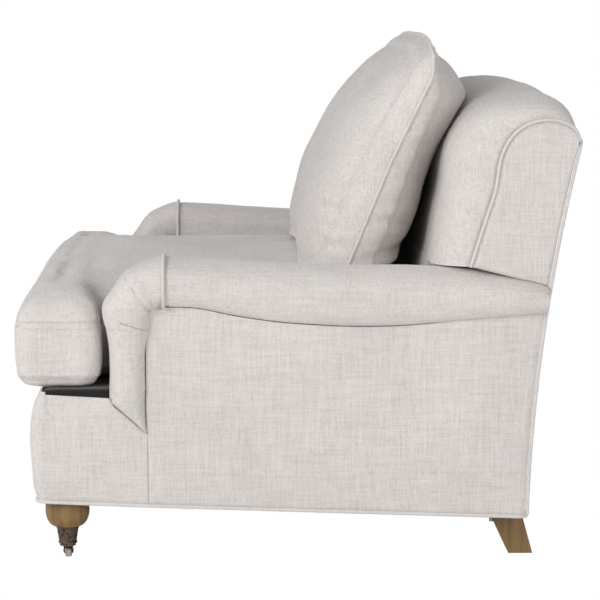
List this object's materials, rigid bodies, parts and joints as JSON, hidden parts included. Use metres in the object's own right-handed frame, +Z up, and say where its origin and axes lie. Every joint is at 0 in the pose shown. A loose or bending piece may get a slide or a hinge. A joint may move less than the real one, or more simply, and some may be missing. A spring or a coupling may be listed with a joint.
{
  "type": "roll arm loveseat",
  "caption": "Upholstered two-seat sofa with rolled arms, a boxed seat cushion, a loose back cushion, turned front legs on swivel casters and raked rear legs.",
  "frame": {"origin": "on the floor, at the middle of the width and of the depth", "axes": "+X to the sitter's left, +Y to the back, +Z up"},
  "size_m": [1.3184, 0.9641, 0.9185],
  "materials": {
    "linen": "matt slubby oatmeal linen weave",
    "welt_linen": "matt linen piping, a little lighter",
    "hardwood": "raw sawn",
    "leg_oak": "weathered oak stain, satin",
    "spring_steel": "drawn wire",
    "jute": "coarse woven",
    "cambric": "matt black non-woven",
    "pewter": "antique pewter",
    "nickel": "polished nickel"
  },
  "bodies": {
    "seat_frame": {"front_rail": "hardwood", "side_rail_left": "hardwood", "side_rail_right": "hardwood", "seat_back_rail": "hardwood", "back_lower_rail": "hardwood", "centre_stretcher": "hardwood", "corner_blocks": "hardwood", "arm_post_left": "hardwood", "arm_post_right": "hardwood", "arm_rail_left": "hardwood", "arm_rail_right": "hardwood", "tacking_rail_left": "hardwood", "tacking_rail_right": "hardwood", "back_post_left": "hardwood", "back_post_right": "hardwood", "back_top_rail": "hardwood", "back_stay_rail": "hardwood", "back_upright": "hardwood", "back_webbing": "jute", "spring_clips": "spring_steel", "seat_springs": "spring_steel", "spring_cover": "jute", "deck_pad": "linen", "inner_arm_left": "linen", "inner_arm_right": "linen", "arm_roll_left": "linen", "arm_roll_right": "linen", "arm_front_left": "linen", "arm_front_right": "linen", "arm_welt_left": "welt_linen", "arm_welt_right": "welt_linen", "side_panel_left": "linen", "side_panel_right": "linen", "front_border": "linen", "inner_back": "linen", "back_side_left": "linen", "back_side_right": "linen", "back_side_welt_left": "welt_linen", "back_side_welt_right": "welt_linen", "outside_back": "linen", "back_welt": "welt_linen", "base_welt": "welt_linen", "dust_cover": "cambric", "leg_bolts": "spring_steel", "front_leg_left": "leg_oak", "front_leg_right": "leg_oak", "rear_leg_left": "leg_oak", "rear_leg_right": "leg_oak", "caster_cup_left": "pewter", "caster_cup_right": "pewter"},
    "seat_cushion": {"seat_cushion": "linen"},
    "back_cushion": {"back_cushion": "linen", "back_cushion_welt": "welt_linen"},
    "caster_horn_left": {"caster_horn_left": "pewter"},
    "caster_horn_right": {"caster_horn_right": "pewter"},
    "caster_wheel_left": {"caster_wheel_left": "nickel"},
    "caster_wheel_right": {"caster_wheel_right": "nickel"}
  },
  "joints": [
    {"name": "seat_cushion_slide", "type": "slide", "parent": "seat_frame", "child": "seat_cushion", "axis": [0, -1, 0], "range_m": [0, 0.72]},
    {"name": "back_cushion_lift", "type": "slide", "parent": "seat_frame", "child": "back_cushion", "axis": [0, 0, 1], "range_m": [0, 0.45]},
    {"name": "caster_swivel_left", "type": "hinge", "parent": "seat_frame", "child": "caster_horn_left", "pos_m": [0.56, -0.401, 0.026], "axis": [0, 0, 1], "continuous": true},
    {"name": "caster_roll_left", "type": "hinge", "parent": "caster_horn_left", "child": "caster_wheel_left", "pos_m": [0.546, -0.401, 0.011], "axis": [0, 1, 0], "continuous": true},
    {"name": "caster_swivel_right", "type": "hinge", "parent": "seat_frame", "child": "caster_horn_right", "pos_m": [-0.56, -0.401, 0.026], "axis": [0, 0, 1], "continuous": true},
    {"name": "caster_roll_right", "type": "hinge", "parent": "caster_horn_right", "child": "caster_wheel_right", "pos_m": [-0.546, -0.401, 0.011], "axis": [0, 1, 0], "continuous": true}
  ]
}
